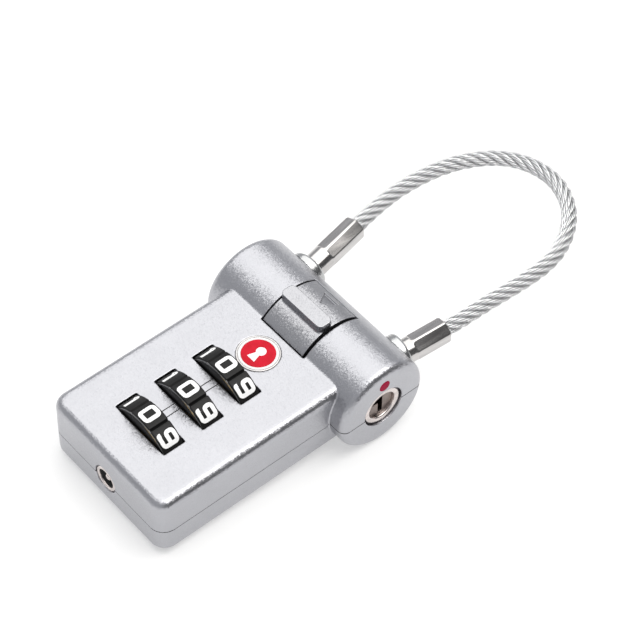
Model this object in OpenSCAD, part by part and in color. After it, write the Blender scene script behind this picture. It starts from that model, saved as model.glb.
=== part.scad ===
// Combination luggage lock with a cable shackle: three dials, a thumb latch and a key cylinder.
// X runs along the barrel, +Y points to the cable loop, +Z points out of the dial side.
// The origin is under the middle of the lock, on the surface that the barrel rests on.

/* [Case] */
// Width of the case
body_w = 30.2; // [29.6:0.1:30.8]
// Thickness of the case
body_t = 12.4; // [12.2:0.1:12.6]
// Distance from the barrel axis to the end face of the case
body_l = 45.3; // [45:0.1:46]
// Plan radius of the end corners
corner_r = 2.9; // [2.7:0.1:3.5]
// Radius of the edge around the dial face
top_edge_r = 1.7; // [1.4:0.1:1.8]
// Radius of the edge around the back face
back_edge_r = 0.5; // [0.4:0.1:0.8]
// Height of the case joint above the back face
parting_h = 4.9; // [4.7:0.1:5]
// Inward slope of the walls away from the joint, in degrees
draft = 0.5; // [0.5:0.5:2]

/* [Barrel] */
// Radius of the barrel
barrel_r = 9.1; // [9:0.1:9.3]
// Length of the barrel
barrel_l = 37.5; // [37:0.1:39]
// Radius of the edges at the barrel ends
barrel_edge_r = 1.5; // [1:0.1:1.8]
// Height of the barrel axis above the back face
barrel_axis_h = 6.1; // [6:0.05:6.15]
// Rise of the joint from the case to the barrel
joint_rise = 0.5; // [0.3:0.1:0.6]

/* [Dials] */
// Radius of a dial wheel
dial_r = 8.45; // [8.3:0.05:8.5]
// Width of a dial wheel
dial_w = 4; // [3.8:0.05:4.1]
// Distance between neighbouring dials
dial_pitch = 8.15; // [8.1:0.05:8.2]
// Height of the dial axis above the back face
dial_axis_h = 6.7; // [6.6:0.05:6.75]
// Distance from the barrel axis to the middle dial
dial_mid = 27.3; // [27.2:0.05:27.4]
// Length of a dial window across the case
window_w = 13.2; // [12.8:0.1:13.6]
// Length of a dial window along the case
window_l = 4.45; // [4.35:0.05:4.6]

/* [Thumb latch] */
// Width of the opening for the thumb piece
latch_slot_w = 11.4; // [11.2:0.1:11.6]
// Width of the thumb piece
latch_w = 10.5; // [10.2:0.1:10.6]
// Height of the thumb ridge above the barrel
ridge_h = 1.2; // [0.8:0.1:1.5]
// Width of the thumb ridge
ridge_w = 3; // [2.6:0.1:3.2]

/* [Key lock] */
// Outer radius of the key sleeve
sleeve_r = 3.85; // [3.7:0.05:3.9]
// Radius of the key plug
plug_r = 2.75; // [2.7:0.05:2.8]

/* [Cable] */
// Diameter of the cable over its clear sheath
cable_d = 3.2; // [3:0.1:3.4]
// Distance of each cable pin from the middle of the barrel
pin_x = 12.35; // [12.2:0.05:12.5]
// Angle by which each pin leans outwards
pin_splay = 8; // [7:0.5:9]
// Rise of the plane of the cable loop
loop_tilt = 6.5; // [6:0.5:7]
// Radius of the neck of a cable pin
neck_r = 2.3; // [2.2:0.05:2.4]

/* [Hidden] */
$fn = 64;

// Places in the frame of the lock
barrel_y = 17.2;
barrel_z = barrel_r;
back_z = barrel_z - barrel_axis_h;
face_z = back_z + body_t;
end_y = barrel_y - body_l;
parting_z = back_z + parting_h;
rise_y = 8;
dial_z = back_z + dial_axis_h;
dial_ys = [for (i = [-1:1]) barrel_y - dial_mid + i * dial_pitch];

// Hollows in the case
wall = 1.8;
edge_steps = 6;
chamber_half_w = 9.5;
chamber_y = dial_ys[0] - dial_w / 2 - 1.75;
chamber_floor = back_z + wall;
chamber_roof = face_z - wall;
cavity_r = 7.2;
cavity_left = -16.6;
cavity_right = 8.2;
big = 60;

// Running clearances
run = 0.05;
fit = 0.02;

// Case screws, from the back
screw_x = 12.1;
screw_ys = [-24, 4.5];
screw_seat = 1.2;
screw_head_r = 1.6;
screw_shank_r = 0.8;
screw_l = 9;

// Marks on the case: round badge, red dot beside the key hole, index lines between the dials
badge_y = barrel_y - 12.2;
badge_r = 3.9;
badge_seat = 0.3;
badge_t = 0.35;
dot_r = 1.1;
dot_h = 5.75;
dot_t = 0.2;
line_x = 0.72;
line_w = 0.12;

// Dial wheels: a groove between each two numbers, and a notch for the tooth of the hub
groove_r = 0.6;
groove_out = 0.25;
notch_in = 0.4;
notch_l = 1.1;
notch_w = 1;
tooth_in = 0.6;
tooth_w = 0.84;
tooth_t = 2;
wheel_gap = 0.1;

// Washers between the hubs, and the leaf spring with its ribs
spacer_r = 3.6;
spacer_t = 0.6;
leaf_x = 9.1;
leaf_t = 0.3;
leaf_w = 4.4;
leaf_end = 2;
rib_r = 0.45;
rib_l = 3;

// Dial hubs and spindle
hub_r = 3.9;
hub_l = 7.2;
hub_rim_r = 4.85;
spindle_r = 2.2;
fin_r = 3;
fin_w = 1;
fin_l = 1.2;
fin_back = 1.3;
recess_r = 3.3;
recess_l = 3;
spindle_end_y = 4.2;
post_y = 1.85;
post_t = 1.2;
post_half_w = 3.5;
spring_wall_y = 7.4;
spring_wall_t = 0.8;
spring_wall_rise = 1.8;
flange_r = 2.8;
flange_t = 0.5;
nose_r = 1.05;
nose_l = 1.2;

// Reset button and its bush
reset_z = 8.3;
reset_pin_r = 1.15;
bush_r = 2.5;
bush_l = 1.8;
bush_in = 0.15;
bush_gap = 0.15;
bush_gap_l = 0.6;
bush_mouth_r = 1.8;
pocket_r = 3.05;
pocket_l = 2.8;
button_in = 0.45;
button_head_r = 1.5;
button_head_l = 0.58;

// Thumb latch
latch_r = barrel_r - 0.1;
latch_in_r = 7.45;
latch_front = 49;
latch_back = 36;
skirt_r = 8.25;
skirt_back = 72;
skirt_gap = 0.15;
track_front = 76;
latch_x = -5.45;
slot_r = barrel_r + 0.3;
shaft_x = -8.6;
shaft_l = 15.2;
shaft_r = 2;
core_x = -5.4;
core_l = 10.4;
core_r = 3;
web_w = 6;
web_t = 2.4;
ridge_front = 2.8;
ridge_end_r = 1;
ridge_over = 0.15;
arrow_half_base = 1.9;
arrow_base_y = 4.35;
arrow_tip_y = 1.7;
arrow_depth = 0.4;
arm_angle = 24;
arm_w = 1.2;
arm_t = 2.4;
arm_l = 7;
finger_x = -12.9;
finger_l = 5;
finger_y = 5.2;
finger_w = 1.2;
finger_z = 2.05;
finger_t = 0.85;
latch_posts = [-6.9, 5.6];

// Key lock
sleeve_x = 9;
sleeve_in = 0.35;
key_recess = 1.2;
key_recess_gap = 0.3;
plug_front = 17.7;
plug_back = 8.1;
plug_tail_r = 2.2;
plug_tail_l = 0.8;
key_way_l = 7.8;
wafer_xs = [10.2, 11.7, 13.2, 14.7];
wafer_t = 0.6;
clip_r = 3.4;
clip_t = 0.5;
cam_r = 3;
cam_t = 0.8;
cam_reach = 5.4;
cam_w = 1.8;

// Cable pins: w is the distance outwards from the collar face
collar_face = 10.2;
collar_r = 3.7;
collar_lift = 0.5;
collar_h = 3.5;
collar_edge_r = 0.7;
loop_z = -0.65;
spigot_r = 3.05;
spigot_l = 3;
pin_bore_l = 4;
flange_pocket = 5.2;
pin_flange_r = 2.9;
pin_flange_t = 1.2;
pin_free_l = 8.1;
pin_fixed_l = 4;
pin_groove_w = 6.7;
pin_groove_l = 2.9;
pin_groove_r = 1.4;
pin_r = 2;
neck_free = 4;
neck_fixed = 2.1;
ferrule_free = 12.2;
ferrule_fixed = 8.8;
ferrule_flat = 4.35;
ferrule_corner_r = 2.35;
ferrule_end_r = 0.6;
ferrule_turn = 36;

// Route of the cable loop in its own plane: across the lock, and away from the barrel axis
loop_route = [
    [-14.4, 24.7], [-14.7, 27.2], [-14.9, 30], [-14.9, 33], [-14.6, 36], [-14.1, 39],
    [-13.3, 42], [-12.1, 45], [-10.4, 47.9], [-8.2, 50.6], [-5.5, 52.7], [-2.4, 54.1],
    [0.8, 54.7], [4, 54.5], [7, 53.5], [9.7, 51.9], [12, 49.6], [13.8, 46.8], [15, 43.7],
    [15.5, 40.5], [15.5, 37.3], [15.25, 34.2], [14.9, 31], [14.5, 27.7], [14.2, 24.5], [13.95, 21.7]
];

// ---------- helpers ----------

// Turns +Z of a shape to +X, with its origin on the barrel axis
module along_barrel(x = 0) {
    translate([x, barrel_y, barrel_z]) rotate([0, 90, 0]) children();
}

// Turns +Z of a shape to +Y
module along_y(x, y, z) {
    translate([x, y, z]) rotate([-90, 0, 0]) children();
}

// Turns +Z of a shape outwards along a cable pin; side is -1 on the left and 1 on the right
module along_pin(side) {
    translate([side * pin_x, barrel_y, barrel_z + loop_z])
    rotate([loop_tilt, 0, 0])
    translate([0, collar_face, 0])
    rotate([-90, 0, -side * pin_splay])
    children();
}

// Point on a cable pin at the distance w from its collar face
function pin_point(side, w) = [
    side * (pin_x + w * sin(pin_splay)),
    barrel_y + (collar_face + w * cos(pin_splay)) * cos(loop_tilt),
    barrel_z + loop_z + (collar_face + w * cos(pin_splay)) * sin(loop_tilt)
];

// Rectangle from the axis to w, h high, with its two outer corners rounded
module rim_section(w, h, low_r, high_r) {
    square([w - low_r, h - high_r]);
    translate([0, low_r]) square([w - high_r, h - low_r]);
    translate([0, low_r]) square([w, h - low_r - high_r]);
    translate([w - low_r, low_r]) circle(low_r);
    translate([w - high_r, h - high_r]) circle(high_r);
}

// Place of the centre of an edge arc: h is its height above or below the joint
function arc_x(w, r, h) = w - (r + (h - r) * sin(draft)) / cos(draft);

// Points of an arc in equal steps
function arc_points(middle, r, from, to) = [
    for (i = [0:edge_steps])
        let (a = from + (to - from) * i / edge_steps) middle + r * [cos(a), sin(a)]
];

// Section of the case wall: w wide at the joint, and narrower towards both faces
module wall_section(w) {
    back = [arc_x(w, back_edge_r, parting_h), back_edge_r];
    top = [arc_x(w, top_edge_r, body_t - parting_h), body_t - top_edge_r];
    polygon(concat(
        [[0, 0]], arc_points(back, back_edge_r, -90, -draft), [[w, parting_h]],
        arc_points(top, top_edge_r, draft, 90), [[0, body_t]]
    ));
}

// Sector of a cylinder along the barrel between two angles from the top, positive to the back
module barrel_sector(x, length, r, front, back) {
    steps = 8;
    reach = 2 * r;
    intersection() {
        along_barrel(x) cylinder(r = r, h = length);
        translate([x, barrel_y, barrel_z]) rotate([90, 0, 90]) linear_extrude(length)
        polygon(concat([[0, 0]], [
            for (i = [0:steps])
                let (a = -front + (front + back) * i / steps) [reach * sin(a), reach * cos(a)]
        ]));
    }
}

// Tube swept along a path; ref is never parallel to the path
module sweep_tube(path, ref, r, sides) {
    last = len(path) - 1;
    function dir(i) = let (d = path[min(i + 1, last)] - path[max(i - 1, 0)]) d / norm(d);
    function side_of(t) = let (c = cross(t, ref)) c / norm(c);
    points = [
        for (i = [0:last])
            let (t = dir(i), u = side_of(t), v = cross(t, u))
                for (k = [0:sides - 1]) path[i] + r * (cos(360 * k / sides) * u + sin(360 * k / sides) * v)
    ];
    walls = [
        for (i = [0:last - 1]) for (k = [0:sides - 1])
            let (a = i * sides + k, b = i * sides + (k + 1) % sides)
                each [[a, a + sides, b + sides], [a, b + sides, b]]
    ];
    ends = [[for (k = [0:sides - 1]) k], [for (k = [sides - 1:-1:0]) last * sides + k]];
    polyhedron(points, concat(walls, ends), convexity = 10);
}

// Coil spring along +Z
module coil(r, wire_r, length, turns) {
    steps = 12;
    path = [
        for (i = [0:turns * steps])
            let (a = 360 * i / steps, rise = (length - 2 * wire_r) / (turns * steps))
                [r * cos(a), r * sin(a), wire_r + rise * i]
    ];
    sweep_tube(path, [0, 0, 1], wire_r, 6);
}

// ---------- case ----------

// Outside of the whole case, both shells together
module case_outside() {
    // case block: its two long sides, the two corners and the end between them
    translate([0, barrel_y, back_z]) rotate([90, 0, 0]) linear_extrude(body_l - corner_r)
    union() {
        wall_section(body_w / 2);
        mirror([1, 0]) wall_section(body_w / 2);
    }
    for (side = [-1, 1])
        translate([side * (body_w / 2 - corner_r), end_y + corner_r, back_z])
        rotate_extrude() wall_section(corner_r);
    translate([body_w / 2 - corner_r, end_y + corner_r, back_z]) rotate([90, 0, -90])
    linear_extrude(body_w - 2 * corner_r) wall_section(corner_r);
    // barrel
    along_barrel(-barrel_l / 2)
        rotate_extrude() rim_section(barrel_r, barrel_l, barrel_edge_r, barrel_edge_r);
    // hollow radius where the dial face meets the barrel
    neck_fillet();
}

// Filling between the dial face and the barrel
module neck_fillet() {
    f = 0.9;
    rise = face_z - barrel_z;
    reach = sqrt(pow(barrel_r + f, 2) - pow(rise + f, 2));
    length = 2 * arc_x(body_w / 2, top_edge_r, body_t - parting_h);
    translate([-length / 2, barrel_y, barrel_z]) rotate([90, 0, 90]) linear_extrude(length)
    difference() {
        translate([-reach, rise - 0.5]) square([2.2, 0.85]);
        translate([-reach, rise + f]) circle(f);
    }
}

// Everything that is hollow in both shells
module case_hollows() {
    // dial chamber, open to the barrel
    translate([-chamber_half_w, chamber_y, chamber_floor])
        cube([2 * chamber_half_w, barrel_y - 4 - chamber_y, chamber_roof - chamber_floor]);
    along_barrel(cavity_left) cylinder(r = cavity_r, h = cavity_right - cavity_left);
    // dial windows through both faces, and the round slots behind them that clear the wheels
    for (y = dial_ys) {
        translate([-window_w / 2, y - window_l / 2, -1]) cube([window_w, window_l, big / 2]);
        along_y(0, y - window_l / 2, dial_z) cylinder(r = dial_r + wheel_gap, h = window_l);
    }
    // opening and inner track of the thumb piece
    barrel_sector(-latch_slot_w / 2, latch_slot_w, slot_r, track_front, latch_back + 0.5);
    barrel_sector(-latch_slot_w / 2, latch_slot_w, skirt_r + skirt_gap, track_front, skirt_back + 2);
    // spindle hole and reset pocket in the end wall
    along_y(0, end_y + bush_l, dial_z) cylinder(r = pocket_r, h = pocket_l);
    along_y(0, end_y + bush_l, dial_z) cylinder(r = spindle_r + run, h = 6);
    along_y(0, end_y - 1, reset_z) cylinder(r = bush_r + fit, h = bush_l + 1);
    along_y(0, end_y - 1, reset_z) cylinder(r = bush_r + bush_gap, h = 1 + bush_gap_l);
    // key bore
    along_barrel(cavity_right - 1) cylinder(r = sleeve_r + run, h = barrel_l / 2);
    along_barrel(barrel_l / 2 - key_recess) cylinder(r = sleeve_r + key_recess_gap, h = 2 * key_recess);
    // holes for the cable collars
    along_pin(-1) translate([0, 0, -pin_bore_l]) cylinder(r = spigot_r + fit, h = 10);
    along_pin(1) translate([0, 0, -flange_pocket]) cylinder(r = spigot_r + fit, h = 10);
}

// Space behind the joint: it steps up where the barrel begins
module behind_joint() {
    translate([-big / 2, -big / 2, parting_z - big]) cube([big, 2 * big, big]);
    translate([-big / 2, rise_y, parting_z - 1]) cube([big, big, 1 + joint_rise]);
}

// Front half of a bearing post: fills the hollow above the axis
module front_posts() {
    translate([-post_half_w, post_y, dial_z + fit])
        cube([2 * post_half_w, post_t, chamber_roof - dial_z]);
    for (x = latch_posts)
        intersection() {
            along_barrel(x) cylinder(r = cavity_r + 0.2, h = 1);
            translate([x - 1, barrel_y - post_half_w, barrel_z + fit]) cube([3, 2 * post_half_w, big]);
        }
}

// Rear half of a bearing post, and the wall behind the spindle spring
module rear_posts() {
    translate([-post_half_w, post_y, back_z + 1])
        cube([2 * post_half_w, post_t, dial_z - back_z - 1]);
    translate([-post_half_w, spring_wall_y, back_z + 1])
        cube([2 * post_half_w, spring_wall_t, dial_z + spring_wall_rise - back_z - 1]);
    for (x = latch_posts)
        intersection() {
            along_barrel(x) cylinder(r = cavity_r + 0.2, h = 1);
            translate([x - 1, barrel_y - post_half_w, -1]) cube([3, 2 * post_half_w, barrel_z + 1]);
        }
}

// Bearing holes for the spindle and for the shaft of the latch
module bearing_holes() {
    along_y(0, post_y - 1, dial_z) cylinder(r = spindle_r + run, h = post_t + 2);
    along_barrel(latch_posts[0] - 1) cylinder(r = shaft_r + run, h = latch_posts[1] - latch_posts[0] + 3.5);
}

module front_shell() {
    color([0.82, 0.82, 0.84])
    difference() {
        union() {
            difference() {
                case_outside();
                case_hollows();
                behind_joint();
            }
            front_posts();
        }
        bearing_holes();
        for (x = [-screw_x, screw_x]) for (y = screw_ys)
            translate([x, y, parting_z - 1]) cylinder(r = screw_shank_r + run, h = 6.6);
        // engraved index lines between the dials
        for (i = [0, 1]) for (side = [-1, 1])
            translate([side * line_x - line_w / 2, dial_ys[i] + window_l / 2 - 0.1, face_z - line_w])
                cube([line_w, dial_pitch - window_l + 0.2, 1]);
        // seat of the badge
        translate([0, badge_y, face_z - badge_seat]) cylinder(r = badge_r + fit, h = 1);
        // seat of the red dot
        along_barrel(barrel_l / 2 - dot_t) translate([-dot_h, 0, 0]) cylinder(r = dot_r + fit, h = 1);
    }
}

module rear_shell() {
    color([0.82, 0.82, 0.84])
    difference() {
        union() {
            difference() {
                intersection() {
                    case_outside();
                    behind_joint();
                }
                case_hollows();
            }
            rear_posts();
        }
        bearing_holes();
        for (x = [-screw_x, screw_x]) for (y = screw_ys) {
            translate([x, y, back_z - 1]) cylinder(r = 1, h = 10);
            translate([x, y, back_z - 1]) cylinder(r = screw_head_r + 0.15, h = 1 + screw_seat);
        }
    }
}

module case_screws() {
    color([0.45, 0.45, 0.47])
    for (x = [-screw_x, screw_x]) for (y = screw_ys)
        translate([x, y, back_z + 0.2])
        difference() {
            union() {
                cylinder(r = screw_head_r, h = screw_seat - 0.2);
                cylinder(r = screw_shank_r, h = screw_l);
            }
            for (turn = [0, 90]) rotate([0, 0, turn])
                translate([-1, -0.18, -0.1]) cube([2, 0.36, 0.6]);
        }
}

module badge() {
    color([0.8, 0.05, 0.13])
    translate([0, badge_y, face_z - badge_seat]) cylinder(r = badge_r, h = badge_t);
}

module red_dot() {
    color([0.75, 0.1, 0.2])
    along_barrel(barrel_l / 2 - dot_t) translate([-dot_h, 0, 0]) cylinder(r = dot_r, h = dot_t);
}

// ---------- dials ----------

module dial_wheel(y) {
    color([0.06, 0.06, 0.07])
    along_y(0, y - dial_w / 2, dial_z)
    difference() {
        cylinder(r = dial_r, h = dial_w);
        translate([0, 0, -1]) cylinder(r = hub_rim_r + run, h = dial_w + 2);
        for (i = [0:9]) rotate([0, 0, 36 * i]) {
            // groove between two numbers
            translate([dial_r + groove_out, 0, -1]) cylinder(r = groove_r, h = dial_w + 2, $fn = 24);
            // notch for the tooth of the hub
            translate([hub_rim_r - notch_in, -notch_w / 2, -1]) cube([notch_l, notch_w, dial_w + 2]);
        }
    }
}

module dial_hub(y) {
    color([0.8, 0.65, 0.3])
    along_y(0, y - hub_l / 2, dial_z)
    difference() {
        union() {
            cylinder(r = hub_r, h = hub_l);
            translate([0, 0, hub_l / 2 - dial_w / 2]) cylinder(r = hub_rim_r, h = dial_w);
            translate([hub_rim_r - tooth_in, -tooth_w / 2, (hub_l - tooth_t) / 2])
                cube([notch_l, tooth_w, tooth_t]);
        }
        translate([0, 0, -1]) cylinder(r = spindle_r + run, h = hub_l + 2);
        translate([0, 0, hub_l / 2 - recess_l / 2]) cylinder(r = recess_r, h = recess_l);
        // gate that lets a fin of the spindle through
        translate([0, -fin_w / 2 - 0.1, -1]) cube([fin_r + 0.15, fin_w + 0.2, hub_l + 2]);
    }
}

module dial_1() { dial_wheel(dial_ys[0]); }
module dial_2() { dial_wheel(dial_ys[1]); }
module dial_3() { dial_wheel(dial_ys[2]); }
module dial_hub_1() { dial_hub(dial_ys[0]); }
module dial_hub_2() { dial_hub(dial_ys[1]); }
module dial_hub_3() { dial_hub(dial_ys[2]); }

// Friction washers between the hubs
module spacers() {
    color([0.75, 0.75, 0.72])
    for (i = [0, 1])
        along_y(0, (dial_ys[i] + dial_ys[i + 1] - spacer_t) / 2, dial_z)
        difference() {
            cylinder(r = spacer_r, h = spacer_t);
            translate([0, 0, -1]) cylinder(r = spindle_r + 2 * run, h = spacer_t + 2);
        }
}

// Leaf spring with one rib for each dial
module detent_spring() {
    leaf_y = dial_ys[0] - leaf_end;
    color([0.7, 0.68, 0.6])
    union() {
        translate([leaf_x, leaf_y, dial_z - leaf_w / 2])
            cube([leaf_t, dial_ys[2] + leaf_end - leaf_y, leaf_w]);
        for (y = dial_ys)
            along_y(leaf_x - run, y - rib_l / 2, dial_z) cylinder(r = rib_r, h = rib_l, $fn = 24);
    }
}

module spindle() {
    flange_y = end_y + bush_l + 0.75;
    color([0.78, 0.78, 0.8])
    union() {
        along_y(0, flange_y, dial_z) cylinder(r = flange_r, h = flange_t);
        along_y(0, flange_y, dial_z) cylinder(r = spindle_r, h = spindle_end_y - flange_y);
        along_y(0, spindle_end_y - 1, dial_z) cylinder(r = nose_r, h = 1 + nose_l);
        for (y = dial_ys)
            translate([0, y - fin_back, dial_z - fin_w / 2]) cube([fin_r, fin_l, fin_w]);
    }
}

module spindle_spring() {
    color([0.7, 0.7, 0.72])
    along_y(0, spindle_end_y + 0.02, dial_z) coil(1.45, 0.2, spring_wall_y - spindle_end_y - 0.04, 4);
}

module reset_bush() {
    color([0.72, 0.7, 0.68])
    along_y(0, end_y + bush_in, reset_z)
    difference() {
        cylinder(r = bush_r, h = bush_l - bush_in);
        translate([0, 0, -1]) cylinder(r = reset_pin_r + run, h = bush_l + 2);
        translate([0, 0, -0.01]) cylinder(r1 = bush_mouth_r, r2 = reset_pin_r, h = 0.7);
    }
}

module reset_button() {
    color([0.8, 0.8, 0.8])
    union() {
        along_y(0, end_y + button_in, reset_z) cylinder(r = reset_pin_r, h = bush_l);
        along_y(0, end_y + bush_l + 0.15, reset_z) cylinder(r = button_head_r, h = button_head_l);
    }
}

// ---------- thumb latch ----------

module thumb_piece() {
    color([0.8, 0.8, 0.82])
    difference() {
        union() {
            difference() {
                union() {
                    barrel_sector(latch_x, latch_w, latch_r, latch_front, latch_back);
                    barrel_sector(latch_x, latch_w, skirt_r, latch_front, skirt_back);
                }
                along_barrel(latch_x - 1) cylinder(r = latch_in_r, h = latch_w + 2);
            }
            // web down to the drum
            translate([-web_w / 2, barrel_y - web_t / 2, barrel_z + core_r - 0.2])
                cube([web_w, web_t, latch_in_r - core_r + 0.6]);
            thumb_ridge();
        }
        along_barrel(latch_x - 1) cylinder(r = core_r + fit, h = latch_w + 2);
        latch_arrow();
    }
}

// Ridge that the thumb pushes: straight sides and round ends
module thumb_ridge() {
    length = latch_w + ridge_over - run;
    low = 1;
    translate([latch_x - ridge_over, barrel_y - ridge_front, barrel_z + latch_r - low])
    linear_extrude(low + 0.1 + ridge_h)
    union() {
        translate([ridge_end_r, 0]) square([length - 2 * ridge_end_r, ridge_w]);
        translate([0, ridge_end_r]) square([length, ridge_w - 2 * ridge_end_r]);
        for (x = [ridge_end_r, length - ridge_end_r]) for (y = [ridge_end_r, ridge_w - ridge_end_r])
            translate([x, y]) circle(ridge_end_r);
    }
}

// Engraved triangle that points the way the thumb pushes
module latch_arrow() {
    difference() {
        translate([latch_x + latch_w / 2, barrel_y, barrel_z]) linear_extrude(barrel_r + 1)
            polygon([[-arrow_half_base, arrow_base_y], [arrow_half_base, arrow_base_y], [0, arrow_tip_y]]);
        along_barrel(-big / 2) cylinder(r = latch_r - arrow_depth, h = big);
    }
}

module latch_drum() {
    color([0.75, 0.73, 0.7])
    union() {
        along_barrel(shaft_x) cylinder(r = shaft_r, h = shaft_l);
        along_barrel(core_x) cylinder(r = core_r, h = core_l);
        // arm, and the finger that holds the free cable pin
        translate([shaft_x, barrel_y, barrel_z]) rotate([arm_angle, 0, 0])
            translate([0, 0, -arm_t / 2]) cube([arm_w, arm_l, arm_t]);
        translate([finger_x, barrel_y + finger_y, barrel_z + finger_z]) cube([finger_l, finger_w, finger_t]);
    }
}

module latch_spring() {
    color([0.7, 0.7, 0.72])
    along_barrel(-5.2) coil(3.5, 0.25, 2, 3);
}

// ---------- key lock ----------

module key_sleeve() {
    color([0.78, 0.74, 0.72])
    along_barrel(sleeve_x)
    difference() {
        cylinder(r = sleeve_r, h = barrel_l / 2 - sleeve_in - sleeve_x);
        translate([0, 0, -1]) cylinder(r = plug_r + run, h = barrel_l / 2);
    }
}

module key_way(depth) {
    translate([plug_front - depth, barrel_y, barrel_z]) rotate([90, 0, 90])
    linear_extrude(depth + 1)
    union() {
        translate([-0.45, -2.2]) square([1, 4.3]);
        translate([-1.7, 0.3]) square([1.8, 1.5]);
    }
}

module key_plug() {
    color([0.62, 0.55, 0.5])
    difference() {
        union() {
            along_barrel(plug_back + plug_tail_l)
                cylinder(r = plug_r, h = plug_front - plug_back - plug_tail_l);
            along_barrel(plug_back) cylinder(r = plug_tail_r, h = 1);
        }
        key_way(key_way_l);
        for (x = wafer_xs)
            translate([x - 0.05, barrel_y - 1.7, barrel_z - 2.15]) cube([wafer_t + 0.1, 3.4, 4.3]);
    }
}

module key_wafers() {
    color([0.8, 0.66, 0.3])
    for (i = [0:3])
        translate([wafer_xs[i], barrel_y, barrel_z])
        difference() {
            translate([0, -1.65, -2.1]) cube([wafer_t, 3.3, 4.2]);
            translate([-1, -0.95, -1.2 + 0.2 * (i % 2)]) cube([3, 1.7, 2.2]);
        }
}

module key_clip() {
    color([0.5, 0.5, 0.52])
    along_barrel(plug_back + 0.25)
    difference() {
        cylinder(r = clip_r, h = clip_t);
        translate([0, 0, -1]) cylinder(r = plug_tail_r + fit, h = 3);
        translate([-0.8, 0, -1]) cube([1.6, 5, 3]);
    }
}

module key_cam() {
    color([0.7, 0.68, 0.65])
    along_barrel(plug_back - cam_t)
    union() {
        cylinder(r = cam_r, h = cam_t);
        translate([-cam_reach, -cam_w / 2, 0]) cube([cam_reach, cam_w, cam_t]);
    }
}

// ---------- cable ----------

// Collar of one cable pin; the bore follows the pin
module collar(side) {
    color([0.8, 0.8, 0.82])
    difference() {
        union() {
            difference() {
                along_pin(side) translate([0, -collar_lift, -collar_h])
                    rotate_extrude() rim_section(collar_r, collar_h, fit, collar_edge_r);
                along_barrel(-big / 2) cylinder(r = barrel_r + fit, h = big);
            }
            along_pin(side) translate([0, 0, -spigot_l]) cylinder(r = spigot_r, h = spigot_l);
        }
        along_pin(side) translate([0, 0, -10]) cylinder(r = pin_r + run, h = 20);
    }
}

module collar_left() { collar(-1); }
module collar_right() { collar(1); }

// Neck and crimped ferrule outside the collar
module crimped_end(neck, total) {
    translate([0, 0, run]) cylinder(r = neck_r, h = neck - run);
    intersection() {
        translate([0, 0, neck - 0.01]) rotate([0, 0, ferrule_turn])
            cylinder(r = ferrule_flat / sqrt(3), h = total - neck + 0.01, $fn = 6);
        translate([0, 0, neck - 0.1])
            rotate_extrude() rim_section(ferrule_corner_r, total - neck + 0.1, fit, ferrule_end_r);
    }
}

// Pin that the latch lets go; its groove takes the finger of the drum
module free_fitting() {
    color([0.68, 0.66, 0.65])
    along_pin(-1)
    difference() {
        union() {
            crimped_end(neck_free, ferrule_free);
            translate([0, 0, -pin_free_l]) cylinder(r = pin_r, h = pin_free_l + 0.1);
        }
        translate([0, 0, -pin_groove_w])
        difference() {
            cylinder(r = pin_r + 1, h = pin_groove_l);
            translate([0, 0, -1]) cylinder(r = pin_groove_r, h = pin_groove_l + 2);
        }
    }
}

// Pin that stays in the barrel, with a flange behind its collar
module fixed_fitting() {
    color([0.68, 0.66, 0.65])
    along_pin(1) union() {
        crimped_end(neck_fixed, ferrule_fixed);
        translate([0, 0, -pin_fixed_l]) cylinder(r = pin_r, h = pin_fixed_l + 0.1);
        translate([0, 0, -pin_fixed_l - 0.9]) cylinder(r = pin_flange_r, h = pin_flange_t);
    }
}

module eject_spring() {
    color([0.7, 0.7, 0.72])
    along_pin(-1) translate([0, 0, -13.6]) coil(1.4, 0.22, 5.45, 5);
}

function loop_point(p) = [
    p[0],
    barrel_y + p[1],
    barrel_z + loop_z + p[1] * tan(loop_tilt)
];

module cable() {
    path = concat(
        [pin_point(-1, ferrule_free + run)],
        [for (p = loop_route) loop_point(p)],
        [pin_point(1, ferrule_fixed + run)]
    );
    color([0.75, 0.76, 0.78])
    sweep_tube(path, [0, -sin(loop_tilt), cos(loop_tilt)], cable_d / 2, 8);
}

front_shell();
rear_shell();
case_screws();
badge();
red_dot();
reset_bush();
detent_spring();
spacers();
collar_left();
collar_right();
key_sleeve();
fixed_fitting();
cable();
eject_spring();
latch_spring();
spindle_spring();
dial_1();
dial_2();
dial_3();
dial_hub_1();
dial_hub_2();
dial_hub_3();
spindle();
reset_button();
thumb_piece();
latch_drum();
key_plug();
key_wafers();
key_cam();
key_clip();
free_fitting();
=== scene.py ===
import bpy
import math
import numpy as np
from mathutils import Matrix, Vector


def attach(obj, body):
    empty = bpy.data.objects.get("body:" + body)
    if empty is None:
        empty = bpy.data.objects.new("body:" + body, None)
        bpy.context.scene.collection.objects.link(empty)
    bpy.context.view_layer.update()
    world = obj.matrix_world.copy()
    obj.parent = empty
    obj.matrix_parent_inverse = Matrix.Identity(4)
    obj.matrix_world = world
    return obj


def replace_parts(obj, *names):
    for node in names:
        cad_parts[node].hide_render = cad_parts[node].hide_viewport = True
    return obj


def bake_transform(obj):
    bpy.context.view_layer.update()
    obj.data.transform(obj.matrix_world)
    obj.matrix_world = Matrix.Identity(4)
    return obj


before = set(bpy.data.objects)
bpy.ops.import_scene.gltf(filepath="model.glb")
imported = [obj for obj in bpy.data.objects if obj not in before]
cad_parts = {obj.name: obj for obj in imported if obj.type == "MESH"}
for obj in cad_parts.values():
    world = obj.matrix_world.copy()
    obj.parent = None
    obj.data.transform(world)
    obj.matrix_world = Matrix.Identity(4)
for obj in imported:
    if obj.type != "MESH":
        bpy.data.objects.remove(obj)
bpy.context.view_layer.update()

# sizes in millimetres, in the part's own frame
MM = 0.001
BARREL_Y, BARREL_Z, BARREL_R, BARREL_HALF = 17.2, 9.1, 9.1, 18.75
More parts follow.
